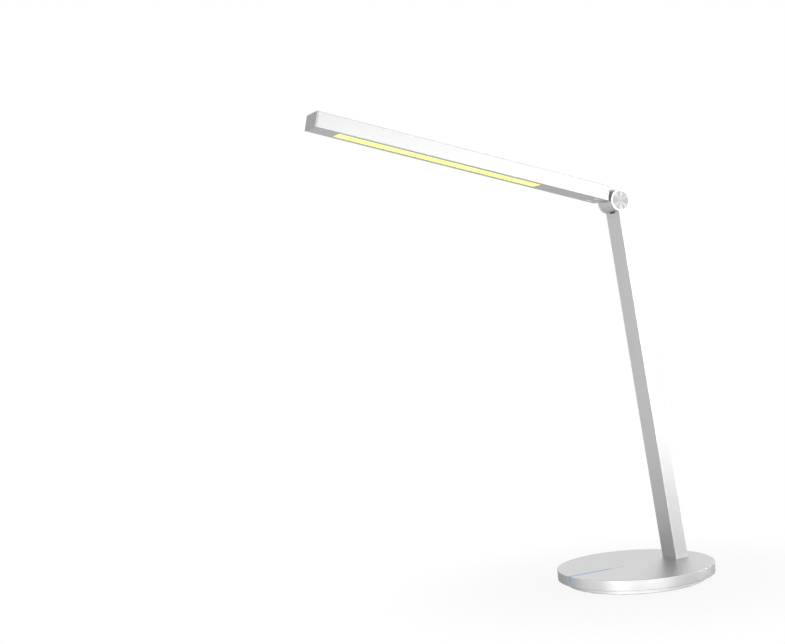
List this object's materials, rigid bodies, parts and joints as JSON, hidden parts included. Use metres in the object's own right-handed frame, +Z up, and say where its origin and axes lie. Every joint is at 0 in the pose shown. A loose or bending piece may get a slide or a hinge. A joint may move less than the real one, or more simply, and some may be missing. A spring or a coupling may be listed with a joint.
{
  "type": "desk lamp",
  "caption": "Slim desk lamp: round weighted base with a lit touch slide, leaning rectangular mast and a straight bar head lit from below on a friction hinge.",
  "frame": {"origin": "on the desk, under the middle of the round base", "axes": "+Z up, the head reaches out towards -Y, the hinge axis lies along X"},
  "size_m": [0.17, 0.4226, 0.518],
  "materials": {
    "satin_silver": "satin, fine bead blast under a clear coat",
    "silver_plastic": "satin paint to match the metal",
    "spun_aluminium": "spun face with a polished ring",
    "cast_silver": "satin paint on die casting",
    "tray_grey": "fine grain",
    "weight_steel": "black oxide",
    "rubber_pad": "translucent grey rubber",
    "zinc_steel": "zinc plated",
    "dark_steel": "nickel plated",
    "friction_plastic": "smooth acetal",
    "circuit_board": "solder mask",
    "white_board": "white solder mask",
    "guide_clear": "clear, lit blue from below",
    "blue_lamp": "clear resin",
    "white_lamp": "yellow phosphor",
    "opal": "opal, lit warm white",
    "reflector_white": "white enamel",
    "black_plastic": "moulded",
    "contact_brass": "nickel flash",
    "white_sheath": "two-core sheath"
  },
  "bodies": {
    "stand": {"base_shell": "satin_silver", "light_guide": "guide_clear", "touch_board": "circuit_board", "strip_leds": "blue_lamp", "base_weight": "weight_steel", "base_tray": "tray_grey", "tray_screws": "zinc_steel", "foot_pads": "rubber_pad", "control_board": "circuit_board", "dc_inlet": "black_plastic", "inlet_pin": "contact_brass", "mast_tube": "satin_silver", "mast_foot_block": "cast_silver", "mast_screws": "zinc_steel", "mast_fork": "cast_silver", "limit_pin": "dark_steel", "hinge_disc_right": "spun_aluminium", "hinge_disc_left": "spun_aluminium", "friction_washers": "friction_plastic", "mast_lead": "white_sheath", "touch_lead": "white_sheath"},
    "lamp_head": {"hinge_neck": "cast_silver", "hinge_axle": "dark_steel", "disc_springs": "dark_steel", "lock_nut": "zinc_steel", "head_housing": "satin_silver", "head_end_cap": "silver_plastic", "neck_screws": "dark_steel", "led_board": "white_board", "white_leds": "white_lamp", "reflector": "reflector_white", "diffuser": "opal", "head_lead": "white_sheath"}
  },
  "joints": [
    {"name": "head_tilt", "type": "hinge", "parent": "stand", "child": "lamp_head", "pos_m": [0, 0.01382, 0.41572], "axis": [1, 0, 0], "range_deg": [-70, 78]}
  ]
}
